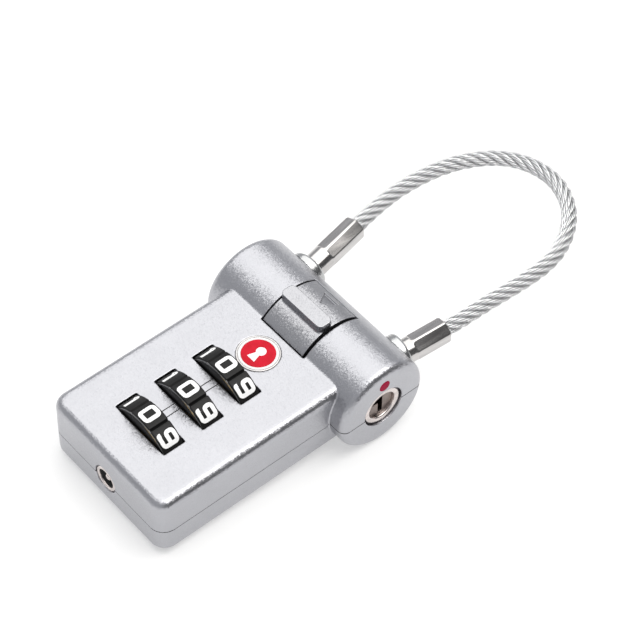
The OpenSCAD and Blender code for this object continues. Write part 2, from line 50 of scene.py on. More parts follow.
CASE_HALF, CASE_CORNER = 15.1, 2.9
END_Y, FACE_Z, PARTING_Z, RESET_Z = -28.1, 15.4, 7.9, 8.3
DIAL_Z, DIAL_R, DIAL_W = 9.7, 8.45, 4.0
DIAL_YS = (-18.25, -10.1, -1.95)


# ---------------------------------------------------------------- camera
def make_camera():
    azimuth, elevation, roll = (math.radians(v) for v in (48.557, 50.832, 1.408))
    back = Vector((math.sin(azimuth) * math.cos(elevation),
                   -math.cos(azimuth) * math.cos(elevation), math.sin(elevation)))
    right = Vector((math.cos(azimuth), math.sin(azimuth), 0))
    up = back.cross(right)
    right_r = math.cos(roll) * right + math.sin(roll) * up
    up_r = -math.sin(roll) * right + math.cos(roll) * up
    data = bpy.data.cameras.new("camera")
    data.lens = 138.19
    data.sensor_width = 36
    data.clip_start, data.clip_end = 0.01, 20
    camera = bpy.data.objects.new("camera", data)
    bpy.context.scene.collection.objects.link(camera)
    turn = Matrix((right_r, up_r, back)).transposed()
    camera.matrix_world = Matrix.Translation(Vector((201.02, -158.71, 342.78)) * MM) @ turn.to_4x4()
    bpy.context.scene.camera = camera


make_camera()


# ---------------------------------------------------------------- mesh helpers
def add_object(name, mesh):
    made = bpy.data.objects.new(name, mesh)
    bpy.context.scene.collection.objects.link(made)
    return made


def mesh_object(name, verts, faces, smooth=True):
    """A mesh object from points in millimetres."""
    mesh = bpy.data.meshes.new(name)
    mesh.from_pydata([tuple(float(c) * MM for c in v) for v in verts], [], faces)
    mesh.validate()
    mesh.update()
    mesh.polygons.foreach_set("use_smooth", [smooth] * len(mesh.polygons))
    return add_object(name, mesh)


def sharp_by_angle(obj, degrees):
    obj.data.set_sharp_from_angle(angle=math.radians(degrees))


def ring_faces(start, rings, sides):
    """Faces between closed rings of points that follow each other."""
    faces = []
    for i in range(rings - 1):
        for k in range(sides):
            a, b = start + i * sides + k, start + i * sides + (k + 1) % sides
            faces.append((a, b, b + sides, a + sides))
    return faces


def lathe(name, profile, place, segments=96):
    """A profile of (radius, height) points turned about +Z of place, in millimetres."""
    verts, faces, rings = [], [], []
    for radius, height in profile:
        if radius < 1e-6:
            rings.append([len(verts)])
            verts.append(place @ Vector((0, 0, height)))
            continue
        rings.append(list(range(len(verts), len(verts) + segments)))
        for k in range(segments):
            a = 2 * math.pi * k / segments
            verts.append(place @ Vector((radius * math.cos(a), radius * math.sin(a), height)))
    for low, high in zip(rings, rings[1:]):
        for k in range(segments):
            a, b = low[k % len(low)], low[(k + 1) % len(low)]
            c, d = high[(k + 1) % len(high)], high[k % len(high)]
            face = list(dict.fromkeys((a, b, c, d)))
            if len(face) > 2:
                faces.append(face)
    return mesh_object(name, verts, faces)


def frame_along(direction, origin, ref=(1, 0, 0)):
    """A 4x4 with +Z along direction and +X as close as it can be to ref."""
    z = Vector(direction).normalized()
    y = z.cross(Vector(ref)).normalized()
    x = y.cross(z)
    return Matrix.Translation(Vector(origin)) @ Matrix((x, y, z)).transposed().to_4x4()


def apply_modifiers(obj):
    """Turns an object's modifiers into its mesh."""
    graph = bpy.context.evaluated_depsgraph_get()
    obj.data = bpy.data.meshes.new_from_object(obj.evaluated_get(graph))
    obj.modifiers.clear()


def voxel_copy(name, node, voxel, passes, most_faces):
    """A copy of a CAD node's mesh with soft cast edges. It replaces the node."""
    source = bpy.data.objects[node]
    work = add_object(name, source.data.copy())
    remesh = work.modifiers.new("remesh", "REMESH")
    remesh.mode, remesh.voxel_size = "VOXEL", voxel * MM
    smooth = work.modifiers.new("smooth", "SMOOTH")
    smooth.factor, smooth.iterations = 0.5, passes
    apply_modifiers(work)
    triangles = 2 * len(work.data.polygons)
    if triangles > most_faces:
        thin = work.modifiers.new("thin", "DECIMATE")
        thin.ratio = most_faces / triangles
        apply_modifiers(work)
    work.data.materials.clear()
    work.data.polygons.foreach_set("use_smooth", [True] * len(work.data.polygons))
    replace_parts(work, node)
    return work


def give(obj, body, material):
    """Puts a piece on its body, with its material."""
    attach(obj, body)
    obj.data.materials.clear()
    obj.data.materials.append(material)
    return obj


# ---------------------------------------------------------------- materials
def start_material(name):
    """A new material with its node tree and its shader."""
    made = bpy.data.materials.new(name)
    made.use_nodes = True
    tree = made.node_tree
    return made, tree, tree.nodes["Principled BSDF"]


def add_node(tree, kind, **settings):
    """A shader node with the settings given, which are inputs or properties."""
    made = tree.nodes.new(kind)
    for key, value in settings.items():
        if key in made.inputs:
            made.inputs[key].default_value = value
        else:
            setattr(made, key, value)
    return made


def noise(tree, scale, detail=2.0, stretch=None):
    """Noise in the object's own coordinates, drawn out where stretch is small."""
    coord = add_node(tree, "ShaderNodeTexCoord")
    made = add_node(tree, "ShaderNodeTexNoise", Scale=scale, Detail=detail)
    if stretch:
        mapping = add_node(tree, "ShaderNodeMapping", Scale=stretch)
        tree.links.new(coord.outputs["Object"], mapping.inputs["Vector"])
        tree.links.new(mapping.outputs["Vector"], made.inputs["Vector"])
    else:
        tree.links.new(coord.outputs["Object"], made.inputs["Vector"])
    return made


def ramp(tree, factor, stops):
    """A colour ramp of (position, colour) stops on a factor socket."""
    made = add_node(tree, "ShaderNodeValToRGB")
    band = made.color_ramp
    while len(band.elements) > 2:
        band.elements.remove(band.elements[-1])
    for i, (at, colour) in enumerate(stops):
        stop = band.elements[i] if i < 2 else band.elements.new(at)
        stop.position, stop.color = at, (*colour, 1)
    tree.links.new(factor, made.inputs["Fac"])
    return made


def span(tree, factor, low, high):
    """Maps a 0 to 1 factor to the span from low to high."""
    made = add_node(tree, "ShaderNodeMapRange")
    made.inputs["To Min"].default_value, made.inputs["To Max"].default_value = low, high
    tree.links.new(factor, made.inputs["Value"])
    return made


def bump(tree, shader, height, strength, distance):
    """Bumps on a shader from a height socket."""
    made = add_node(tree, "ShaderNodeBump", Strength=strength, Distance=distance)
    tree.links.new(height, made.inputs["Height"])
    tree.links.new(made.outputs["Normal"], shader.inputs["Normal"])


def grey(value):
    return (value, value, value)


def flake_normal(tree, cells, tilt):
    """World normal with a small random lean in each cell, as metal flakes lie in paint."""
    coord = add_node(tree, "ShaderNodeTexCoord")
    geometry = add_node(tree, "ShaderNodeNewGeometry")
    normal = geometry.outputs["Normal"]
    for cell, lean in zip(cells, tilt):
        flake = add_node(tree, "ShaderNodeTexVoronoi", Scale=1 / (cell * MM))
        tree.links.new(coord.outputs["Object"], flake.inputs["Vector"])
        centred = add_node(tree, "ShaderNodeVectorMath", operation="SUBTRACT")
        centred.inputs[1].default_value = (0.5, 0.5, 0.5)
        tree.links.new(flake.outputs["Color"], centred.inputs[0])
        scaled = add_node(tree, "ShaderNodeVectorMath", operation="SCALE")
        scaled.inputs["Scale"].default_value = 2 * lean
        tree.links.new(centred.outputs["Vector"], scaled.inputs[0])
        added = add_node(tree, "ShaderNodeVectorMath", operation="ADD")
        tree.links.new(normal, added.inputs[0])
        tree.links.new(scaled.outputs["Vector"], added.inputs[1])
        normal = added.outputs["Vector"]
    unit = add_node(tree, "ShaderNodeVectorMath", operation="NORMALIZE")
    tree.links.new(normal, unit.inputs[0])
    return unit.outputs["Vector"]


def sprayed_metal(name, colour, rough, cells, tilt):
    """Silver paint: flakes that lean a little, and a slow change in tone and gloss."""
    made, tree, shader = start_material(name)
    slow = noise(tree, 130.0, 3.0)
    tone = ramp(tree, slow.outputs["Fac"],
                [(0.3, tuple(0.97 * c for c in colour)), (0.7, tuple(1.03 * c for c in colour))])
    tree.links.new(tone.outputs["Color"], shader.inputs["Base Color"])
    gloss = span(tree, slow.outputs["Fac"], rough - 0.03, rough + 0.04)
    tree.links.new(gloss.outputs["Result"], shader.inputs["Roughness"])
    tree.links.new(flake_normal(tree, cells, tilt), shader.inputs["Normal"])
    shader.inputs["Metallic"].default_value = 1.0
    return made


def turned_metal(name, colour, rough, stretch, scale=900.0):
    """Machined steel: streaks drawn out along one axis of the object."""
    made, tree, shader = start_material(name)
    streak = noise(tree, scale, 4.0, stretch)
    tone = ramp(tree, streak.outputs["Fac"],
                [(0.3, tuple(0.84 * c for c in colour)), (0.7, tuple(min(1, 1.12 * c) for c in colour))])
    tree.links.new(tone.outputs["Color"], shader.inputs["Base Color"])
    gloss = span(tree, streak.outputs["Fac"], rough - 0.06, rough + 0.08)
    tree.links.new(gloss.outputs["Result"], shader.inputs["Roughness"])
    bump(tree, shader, streak.outputs["Fac"], 0.25, 0.00002)
    shader.inputs["Metallic"].default_value = 1.0
    return made


def moulded_plastic(name, low, high, rough, coat=0.0, specular=0.5):
    """Glossy moulded or painted surface with a faint orange peel and uneven gloss."""
    made, tree, shader = start_material(name)
    cloud = noise(tree, 700.0, 3.0)
    tone = ramp(tree, cloud.outputs["Fac"], [(0.3, low), (0.7, high)])
    tree.links.new(tone.outputs["Color"], shader.inputs["Base Color"])
    gloss = span(tree, cloud.outputs["Fac"], rough - 0.04, rough + 0.06)
    tree.links.new(gloss.outputs["Result"], shader.inputs["Roughness"])
    peel = noise(tree, 2600.0, 1.0)
    bump(tree, shader, peel.outputs["Fac"], 0.12, 0.00002)
    shader.inputs["Coat Weight"].default_value = coat
    shader.inputs["Specular IOR Level"].default_value = specular
    return made


def clear_sheath(name):
    """Clear soft plastic: mostly see-through, brighter to the rim, slightly cloudy."""
    made, tree, shader = start_material(name)
    cloud = noise(tree, 420.0, 3.0)
    tone = ramp(tree, cloud.outputs["Fac"], [(0.3, grey(0.84)), (0.7, grey(0.93))])
    tree.links.new(tone.outputs["Color"], shader.inputs["Base Color"])
    gloss = span(tree, cloud.outputs["Fac"], 0.12, 0.24)
    tree.links.new(gloss.outputs["Result"], shader.inputs["Roughness"])
    shader.inputs["Alpha"].default_value = 0.11
    shader.inputs["IOR"].default_value = 1.5
    return made


SPRAYED = sprayed_metal("sprayed_zinc", (0.425, 0.427, 0.452), 0.33, (0.14, 0.26), (0.115, 0.02))
LATCH = sprayed_metal("latch_zinc", (0.400, 0.401, 0.420), 0.31, (0.14, 0.26), (0.125, 0.02))
COLLAR = sprayed_metal("collar_zinc", (0.48, 0.485, 0.49), 0.26, (0.16, 0.34), (0.035, 0.015))
FERRULE = turned_metal("ferrule_steel", (0.50, 0.485, 0.48), 0.17, (1.0, 0.06, 1.0))
TURNED = turned_metal("turned_steel", (0.66, 0.60, 0.58), 0.24, (1.0, 0.2, 1.0))
PLUG = turned_metal("plug_steel", (0.22, 0.18, 0.165), 0.30, (0.1, 1.0, 1.0))
SPRING = turned_metal("spring_steel", (0.46, 0.46, 0.47), 0.30, (1.0, 1.0, 0.2))
SCREW = turned_metal("screw_steel", (0.42, 0.42, 0.44), 0.28, (1.0, 1.0, 0.3))
BRASS = turned_metal("hub_brass", (0.62, 0.43, 0.17), 0.28, (1.0, 0.1, 1.0))
DIAL = moulded_plastic("dial_plastic", grey(0.009), grey(0.014), 0.34, 0.0, 0.17)
# lighter grey than the dial plastic: a painted highlight along the wheel edges
DIAL_EDGE_HIGHLIGHT = moulded_plastic("dial_edge_painted_highlight", grey(0.12), grey(0.17), 0.3, 1.0)
WHITE = moulded_plastic("dial_white", grey(0.88), grey(0.94), 0.34)
RED = moulded_plastic("badge_red", (0.48, 0.002, 0.014), (0.58, 0.004, 0.024), 0.45, 0.0, 0.15)
DOT = moulded_plastic("dot_red", (0.31, 0.005, 0.036), (0.37, 0.007, 0.045), 0.6, 0.0, 0.1)
# dark colour for the index lines and the shell joint, and painted shade inside the reset bore
INK_AND_PAINTED_SHADE = moulded_plastic("line_ink_and_painted_shade", grey(0.012), grey(0.02), 0.8)
ENAMEL = moulded_plastic("badge_white", grey(0.80), grey(0.86), 0.5)
STRAND = turned_metal("cable_strand", (0.62, 0.625, 0.635), 0.13, (1.0, 1.0, 1.0), 2500.0)
SHEATH = clear_sheath("cable_sheath")

# ---------------------------------------------------------------- cable
CABLE_R = 1.6
PIN_X, PIN_SPLAY, LOOP_TILT = 12.35, math.radians(8), math.radians(6.5)
COLLAR_FACE, LOOP_Z = 10.2, -0.65
FERRULE_FREE, FERRULE_FIXED, RUN = 12.2, 8.8, 0.05
LOOP_ROUTE = [
    (-14.4, 24.7), (-14.7, 27.2), (-14.9, 30), (-14.9, 33), (-14.6, 36), (-14.1, 39),
    (-13.3, 42), (-12.1, 45), (-10.4, 47.9), (-8.2, 50.6), (-5.5, 52.7), (-2.4, 54.1),
    (0.8, 54.7), (4, 54.5), (7, 53.5), (9.7, 51.9), (12, 49.6), (13.8, 46.8), (15, 43.7),
    (15.5, 40.5), (15.5, 37.3), (15.25, 34.2), (14.9, 31), (14.5, 27.7), (14.2, 24.5),
    (13.95, 21.7)]


def pin_axis(side):
    """Direction of a cable pin, outwards."""
    c, s = math.cos(PIN_SPLAY), math.sin(PIN_SPLAY)
    return Vector((side * s, c * math.cos(LOOP_TILT), c * math.sin(LOOP_TILT)))


def pin_point(side, w):
    """Point on a cable pin at the distance w from its collar face."""
    start = Vector((side * PIN_X, BARREL_Y + COLLAR_FACE * math.cos(LOOP_TILT),
                    BARREL_Z + LOOP_Z + COLLAR_FACE * math.sin(LOOP_TILT)))
    return start + w * pin_axis(side)


def cable_route():
    """The cable's centreline between its two fittings, as given points."""
    points = [pin_point(-1, FERRULE_FREE + RUN)]
    for x, y in LOOP_ROUTE:
        points.append(Vector((x, BARREL_Y + y, BARREL_Z + LOOP_Z + y * math.tan(LOOP_TILT))))
    points.append(pin_point(1, FERRULE_FIXED + RUN))
    return points


def smooth_route(points, per_span):
    """Catmull-Rom curve through the points."""
    ends = [2 * points[0] - points[1], *points, 2 * points[-1] - points[-2]]
    out = []
    for i in range(1, len(ends) - 2):
        p0, p1, p2, p3 = ends[i - 1:i + 3]
        for k in range(per_span):
            t = k / per_span
            out.append(0.5 * (2 * p1 + (p2 - p0) * t + (2 * p0 - 5 * p1 + 4 * p2 - p3) * t * t
                              + (3 * p1 - p0 - 3 * p2 + p3) * t ** 3))
    out.append(points[-1])
    return out


def resample(points, step):
    """Points at an even step along a line, with its length."""
    at = np.array([tuple(p) for p in points])
    gone = np.concatenate([[0], np.cumsum(np.linalg.norm(np.diff(at, axis=0), axis=1))])
    n = int(math.ceil(gone[-1] / step)) + 1
    want = np.linspace(0, gone[-1], n)
    return np.stack([np.interp(want, gone, at[:, k]) for k in range(3)], axis=1), want


def normals_on(points):
    """Two unit normals at each point of a line: one level with the loop, one out of it."""
    tangent = np.gradient(points, axis=0)
    tangent /= np.linalg.norm(tangent, axis=1)[:, None]
    up = np.array([0.0, -math.sin(LOOP_TILT), math.cos(LOOP_TILT)])
    side = np.cross(tangent, up)
    side /= np.linalg.norm(side, axis=1)[:, None]
    return side, np.cross(side, tangent)


def tubes(name, lines, radius, sides):
    """One mesh of closed round tubes along several lines of points."""
    verts, faces = [], []
    for line in lines:
        side, over = normals_on(line)
        start = len(verts)
        for p, u, v in zip(line, side, over):
            for k in range(sides):
                a = 2 * math.pi * k / sides
                verts.append(p + radius * (math.cos(a) * u + math.sin(a) * v))
        rings = len(line)
        faces += ring_faces(start, rings, sides)
        faces.append(tuple(start + k for k in reversed(range(sides))))
        faces.append(tuple(start + (rings - 1) * sides + k for k in range(sides)))
    return mesh_object(name, verts, faces)


def make_cable():
    """The clear sheath over its core of six strands, each of six wires."""
    line, gone = resample(smooth_route(cable_route(), 8), 0.4)
    side, over = normals_on(line)
    sheath = tubes("cable_sheath_tube", [line], CABLE_R, 24)
    strands, strand_lay, strand_r = 6, 13.0, 0.97
    wire_lay, wire_r, wire_at = 5.2, 0.17, 0.345
    wires = []
    for s in range(strands):
        a = 2 * math.pi * (s / strands - gone / strand_lay)
        out = np.cos(a)[:, None] * side + np.sin(a)[:, None] * over
        around = -np.sin(a)[:, None] * side + np.cos(a)[:, None] * over
        middle = line + strand_r * out
        for w in range(strands):
            b = 2 * math.pi * (w / strands + gone / wire_lay)
            wires.append(middle + wire_at * (np.cos(b)[:, None] * out + np.sin(b)[:, None] * around))
    core = tubes("cable_core_wires", wires, wire_r, 5)
    for obj, material, slot in ((sheath, SHEATH, "cable_sheath"), (core, STRAND, "cable_strand")):
        obj.data.materials.append(material)
        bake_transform(obj)
    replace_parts(sheath, "cable")
    return sheath, core, line, float(gone[-1])


sheath, core, cable_line, cable_length = make_cable()


# ---------------------------------------------------------------- cable ends
HEX_TURN = math.radians(6)


def hex_radius(angle, flat, corner):
    """Radius of a hexagon with rounded corners: apothem flat, corners held at corner."""
    a = (angle - HEX_TURN + math.pi / 6) % (math.pi / 3) - math.pi / 6
    return min(corner, flat / math.cos(a))


def fitting(name, side, neck_end, total, low, groove=None):
    """Crimped steel end: round pin, round neck, then six pressed flats with a chamfered end."""
    neck_r, pin_r, flat, corner, segments = 2.3, 2.0, 2.1, 2.36, 96
    hair, cut, steps = 0.001, 0.6, 6
    # each station is (height, outline, inset); a number as outline is the share of the hexagon
    stations = [(low, "pin", 0.25), (low + 0.25, "pin", 0)]
    if groove:
        bottom, top = groove
        stations += [(bottom - hair, "pin", 0), (bottom, "pin", cut)]
        stations += [(top, "pin", cut), (top + hair, "pin", 0)]
    stations += [(RUN - hair, "pin", 0), (RUN, "neck", 0.1), (RUN + 0.1, "neck", 0)]
    stations += [(neck_end - 0.55, "neck", 0)]
    stations += [(neck_end - 0.5 + 0.6 * i / steps, i / steps, 0) for i in range(steps + 1)]
    stations += [(total - 0.45, 1.0, 0), (total - 0.2, 1.0, 0.1)]
    stations += [(total - 0.05, 1.0, 0.27), (total, 1.0, 0.42)]
    place = frame_along(pin_axis(side), pin_point(side, 0), (1, 0, 0))
    verts = []
    for w, kind, inset in stations:
        for k in range(segments):
            a = 2 * math.pi * k / segments
            if kind == "pin":
                r = pin_r
            elif kind == "neck":
                r = neck_r
            else:
                # the press bites deeper in the middle of a flat, so its edge is scalloped
                pressed = hex_radius(a, flat, corner)
                bite = (corner - pressed) / (corner - flat)
                share = min(1.0, max(0.0, kind * (1.0 + 0.9 * bite)))
                share = share * share * (3 - 2 * share)
                r = neck_r + share * (pressed - neck_r)
            r -= inset
            verts.append(place @ Vector((r * math.cos(a), r * math.sin(a), w)))
    faces = ring_faces(0, len(stations), segments)
    faces.append(tuple(reversed(range(segments))))
    last = (len(stations) - 1) * segments
    faces.append(tuple(range(last, last + segments)))
    obj = mesh_object(name, verts, faces)
    sharp_by_angle(obj, 24)
    return obj


free_end = fitting("free_end_steel", -1, 4.0, FERRULE_FREE, -8.1, (-6.7, -3.8))
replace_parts(give(free_end, "free_end", FERRULE), "free_fitting")
fixed_end = fitting("fixed_end_steel", 1, 2.1, FERRULE_FIXED, -4.9)
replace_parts(give(fixed_end, "housing", FERRULE), "fixed_fitting")


# ---------------------------------------------------------------- case, thumb piece, collars
for half in ("front", "rear"):
    shell = voxel_copy(half + "_case", half + "_shell", 0.13, 3, 196000)
    give(shell, "housing", SPRAYED)
thumb = voxel_copy("thumb_slide", "thumb_piece", 0.08, 7, 150000)
give(thumb, "latch", LATCH)
for side_name in ("left", "right"):
    collar = voxel_copy("collar_" + side_name + "_cast", "collar_" + side_name, 0.09, 3, 60000)
    give(collar, "housing", COLLAR)


def index_lines():
    """Two thin dark lines from each dial window to the next."""
    verts, faces = [], []
    line_x, line_w, lift, window_half = 0.72, 0.16, 0.03, 2.3
    for y0, y1 in zip(DIAL_YS, DIAL_YS[1:]):
        low, high = y0 + window_half, y1 - window_half
        for x in (-line_x, line_x):
            start = len(verts)
            for z in (FACE_Z - 0.1, FACE_Z + lift):
                verts += [(x - line_w / 2, low, z), (x + line_w / 2, low, z),
                          (x + line_w / 2, high, z), (x - line_w / 2, high, z)]
            faces += [(start + 3, start + 2, start + 1, start), (start + 4, start + 5, start + 6, start + 7)]
            for k in range(4):
                a, b = start + k, start + (k + 1) % 4
                faces.append((a, b, b + 4, a + 4))
    return mesh_object("index_lines", verts, faces, smooth=False)


give(index_lines(), "housing", INK_AND_PAINTED_SHADE)


# ---------------------------------------------------------------- joint line of the case
def seam_stretches(inset, half):
    """The visible stretches of the joint between the shells.

    The joint stops at the reset ring, the key ring and the two cable collars. Each point is
    (x, y, z, jog): the jog mitres the corners where the joint steps up to the barrel.
    """
    bush_half, ring_r, collar_half = 2.62, 4.15, 2.7
    edge, step_y, high_z = 1.5, 8.0, 8.4
    drop = BARREL_Z - high_z

    def barrel_edge(x):
        """Half width of the barrel at the height of the joint."""
        over = max(0.0, abs(x) - (BARREL_HALF - edge))
        r = BARREL_R - edge + math.sqrt(max(0.0, edge * edge - over * over)) - inset
        return math.sqrt(r * r - drop * drop)

    steps = 12
    arc = [math.pi / 2 * i / steps for i in range(steps + 1)]
    case_side = [(CASE_HALF - CASE_CORNER + (CASE_CORNER - inset) * math.sin(a),
                  END_Y + CASE_CORNER - (CASE_CORNER - inset) * math.cos(a)) for a in arc]
    run = [(x, y, PARTING_Z, 0) for x, y in [(bush_half, END_Y + inset)] + case_side]
    wall_x = CASE_HALF - inset - 0.03
    run += [(wall_x, step_y, PARTING_Z, half), (wall_x, step_y, high_z, half)]
    round_end = [BARREL_HALF - edge + edge * math.sin(a) for a in arc]
    face_x = BARREL_HALF - inset
    front = [(min(x, face_x), BARREL_Y - barrel_edge(x), high_z, 0) for x in round_end]
    back = [(x, 2 * BARREL_Y - y, z, jog) for x, y, z, jog in reversed(front)]
    run += [(wall_x, BARREL_Y - barrel_edge(CASE_HALF), high_z, 0)] + front
    gap = math.sqrt(ring_r * ring_r - drop * drop)
    right = run + [(face_x, BARREL_Y - gap, high_z, 0)]
    back_y = BARREL_Y + barrel_edge(0)
    key_side = [(face_x, BARREL_Y + gap, high_z, 0)] + back
    key_side.append((PIN_X + collar_half, back_y, high_z, 0))
    middle = [(PIN_X - collar_half, back_y, high_z, 0), (collar_half - PIN_X, back_y, high_z, 0)]
    left = [(-PIN_X - collar_half, back_y, high_z, 0)]
    left += [(-x, *other) for x, *other in reversed(run + back)]
    return right, key_side, middle, left


def case_seam():
    """A thin dark band just under the surface, along the joint of the shells."""
    outer, inner, half = 0.02, 0.4, 0.10
    verts, faces = [], []
    for near, far in zip(seam_stretches(outer, half), seam_stretches(inner, half)):
        start = len(verts)
        for (x, y, z, jog), (u, v, w, _) in zip(near, far):
            verts += [(x, y - jog, z + half), (x, y + jog, z - half),
                      (u, v + jog, w - half), (u, v - jog, w + half)]
        faces += ring_faces(start, len(near), 4)
        faces.append((start + 3, start + 2, start + 1, start))
        last = start + 4 * (len(near) - 1)
        faces.append((last, last + 1, last + 2, last + 3))
    return mesh_object("case_seam", verts, faces, smooth=False)


give(case_seam(), "housing", INK_AND_PAINTED_SHADE)


# ---------------------------------------------------------------- badge and red dot
def plate(name, outline, low, high):
    """A flat plate from an outline of (x, y) points."""
    n = len(outline)
    verts = [(x, y, low) for x, y in outline] + [(x, y, high) for x, y in outline]
    faces = [tuple(reversed(range(n))), tuple(range(n, 2 * n))]
    faces += [(k, (k + 1) % n, n + (k + 1) % n, n + k) for k in range(n)]
    return mesh_object(name, verts, faces, smooth=False)


def make_badge():
    """A round badge of the builder's own design: steel rim, white ring, red field, white keyhole."""
    middle, low = BARREL_Y - 12.2, -0.3
    place = Matrix.Translation(Vector((0, middle, FACE_Z)))
    rim = [(3.55, low), (3.9, low), (3.9, 0.02), (3.86, 0.06), (3.76, 0.08), (3.62, 0.07),
           (3.55, 0.02), (3.55, low)]
    give(lathe("badge_rim", rim, place), "housing", FERRULE)
    ring = [(3.05, low), (3.54, low), (3.54, 0.01), (3.05, 0.01), (3.05, low)]
    give(lathe("badge_ring", ring, place), "housing", ENAMEL)
    dome = [(0, low), (3.04, low), (3.04, 0.0)]
    steps = 10
    for i in range(steps + 1):
        r = 3.0 * (1 - i / steps)
        dome.append((r, 0.04 - 0.02 * (r / 3.0) ** 4))
    enamel = lathe("badge_enamel", dome, place)
    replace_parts(give(enamel, "housing", RED), "badge")
    head_r, head_y, neck, foot, foot_y = 0.92, 0.62, 0.46, 0.95, -1.75
    turn = math.asin(neck / head_r)
    count = 40
    arc = [-math.pi / 2 + turn + (2 * math.pi - 2 * turn) * i / count for i in range(count + 1)]
    hole = [(head_r * math.cos(a), middle + head_y + head_r * math.sin(a)) for a in arc]
    hole += [(-foot, middle + foot_y), (foot, middle + foot_y)]
    give(plate("badge_keyhole", hole, FACE_Z, FACE_Z + 0.055), "housing", ENAMEL)


make_badge()
dot_place = frame_along((1, 0, 0), (BARREL_HALF, BARREL_Y, BARREL_Z + 5.75), (0, 1, 0))
dot = lathe("red_dot_paint", [(0, -0.2), (1.1, -0.2), (1.1, -0.03), (1.05, 0.0), (0.5, 0.0), (0, 0.0)],
            dot_place, 64)
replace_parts(give(dot, "housing", DOT), "red_dot")

# ---------------------------------------------------------------- key end and reset hole
key_place = frame_along((1, 0, 0), (0, BARREL_Y, BARREL_Z), (0, 1, 0))
ring_profile = [(2.8, 9.0), (3.85, 9.0), (3.85, 18.22), (3.8, 18.34), (3.66, 18.4), (3.06, 18.4),
                (2.92, 18.34), (2.84, 18.2), (2.8, 18.0), (2.8, 9.0)]
sleeve = lathe("key_ring", ring_profile, key_place)
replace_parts(give(sleeve, "housing", TURNED), "key_sleeve")
plug = voxel_copy("key_plug_face", "key_plug", 0.06, 2, 90000)
give(plug, "key", PLUG)

reset_place = frame_along((0, 1, 0), (0, END_Y, RESET_Z), (1, 0, 0))
bush = lathe("reset_ring", [(1.85, 1.8), (2.5, 1.8), (2.5, 0.3), (2.45, 0.19), (2.34, 0.15), (2.0, 0.15),
                            (1.9, 0.2), (1.85, 0.32), (1.85, 1.8)], reset_place)
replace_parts(give(bush, "housing", TURNED), "reset_bush")
# painted shade: the bore is in shade inside, so a thin black sheet stands in for the shade there
bore_shade_sheet = lathe("reset_bore_painted_shade", [(1.25, 1.7), (1.76, 1.7), (1.76, 0.42), (1.84, 0.42), (1.84, 1.79),
                              (1.25, 1.79), (1.25, 1.7)], reset_place)
give(bore_shade_sheet, "housing", INK_AND_PAINTED_SHADE)
pin = lathe("reset_pin", [(0, 0.45), (0.35, 0.46), (0.52, 0.54), (0.8, 0.9), (1.1, 1.3), (1.15, 1.45),
                          (1.15, 2.0), (1.5, 2.0), (1.5, 2.5), (0, 2.5)], reset_place)
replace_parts(give(pin, "spindle", TURNED), "reset_button")


# ---------------------------------------------------------------- dials
WHEEL_EDGE, PITCH = 0.25, math.radians(36)


def facet_radius(angle):
    """Radius of a dial wheel at an angle from the middle of a number, with a groove between two."""
    shoulder, slope = math.radians(16.3), math.radians(1.3)
    fall, groove = 0.08, 0.42
    off = abs((angle + PITCH / 2) % PITCH - PITCH / 2)
    r = DIAL_R - fall * (off / shoulder) ** 2
    if off > shoulder:
        r -= groove * min(1.0, (off - shoulder) / slope)
    return r


def make_rim(name, y_mid):
    """The thin rim of a wheel on the side towards the case end, which closes the grooves; its lighter grey
    is a painted highlight along the edge.
    """
    low, proud = DIAL_W / 2 - 0.1, DIAL_W / 2 + 0.012
    bottom, top = 7.7, DIAL_R - WHEEL_EDGE + 0.01
    profile = [(bottom, -low), (bottom, -proud), (top - 0.05, -proud), (top - 0.01, 0.02 - proud),
               (top, 0.06 - proud), (top, -low), (bottom, -low)]
    return lathe(name, profile, frame_along((0, 1, 0), (0, y_mid, DIAL_Z), (1, 0, 0)), 180)


def make_wheel(name, y_mid):
    """A dial wheel with rounded edges and a bore for its hub."""
    segments, steps, bore_r = 360, 4, 4.9
    half, edge = DIAL_W / 2, WHEEL_EDGE
    rows = [(-half, 0.0, True)]
    for i in range(steps + 1):
        a = math.pi / 2 * i / steps
        rows.append((-half + edge * (1 - math.cos(a)), edge * (1 - math.sin(a)), False))
    rows += [(-y, inset, bore) for y, inset, bore in reversed(rows)]
    verts = []
    for y, inset, bore in rows:
        for k in range(segments):
            a = 2 * math.pi * k / segments
            r = bore_r if bore else facet_radius(a) - inset
            verts.append((r * math.sin(a), y_mid + y, DIAL_Z + r * math.cos(a)))
    faces = ring_faces(0, len(rows), segments)
    last = (len(rows) - 1) * segments
    for k in range(segments):
        faces.append((k, last + k, last + (k + 1) % segments, (k + 1) % segments))
    obj = mesh_object(name, verts, faces)
    sharp_by_angle(obj, 40)
    return obj


# half width and half height of a number's middle line, and the width of its stroke
A, B, STROKE = 1.04, 1.36, 0.74
GLYPHS = {
    0: [("loop", [(-A, -B), (A, -B), (A, B), (-A, B)])],
    1: [("line", [(-0.5, B - 0.62), (0.2, B), (0.2, -B - 0.3)])],
    2: [("line", [(-A, B), (A, B), (A, 0), (-A, 0), (-A, -B), (A + 0.3, -B)])],
    3: [("line", [(-A - 0.2, B), (A, B), (A, -B), (-A - 0.2, -B)]), ("line", [(-0.45, 0), (A, 0)])],
    4: [("line", [(-A, B + 0.3), (-A, -0.25), (A + 0.3, -0.25)]),
        ("line", [(0.45, B - 0.3), (0.45, -B - 0.3)])],
    5: [("line", [(A + 0.2, B), (-A, B), (-A, 0), (A, 0), (A, -B), (-A - 0.2, -B)])],
    6: [("line", [(A, B - 0.45), (A, B), (-A, B), (-A, -B), (A, -B), (A, 0), (-A, 0)])],
    7: [("line", [(-A - 0.2, B), (A, B), (-0.15, -B - 0.3)])],
    8: [("loop", [(-A, -B), (A, -B), (A, B), (-A, B)]), ("line", [(-A, 0), (A, 0)])],
    9: [("line", [(-A, -B + 0.45), (-A, -B), (A, -B), (A, B), (-A, B), (-A, 0), (A, 0)])],
}


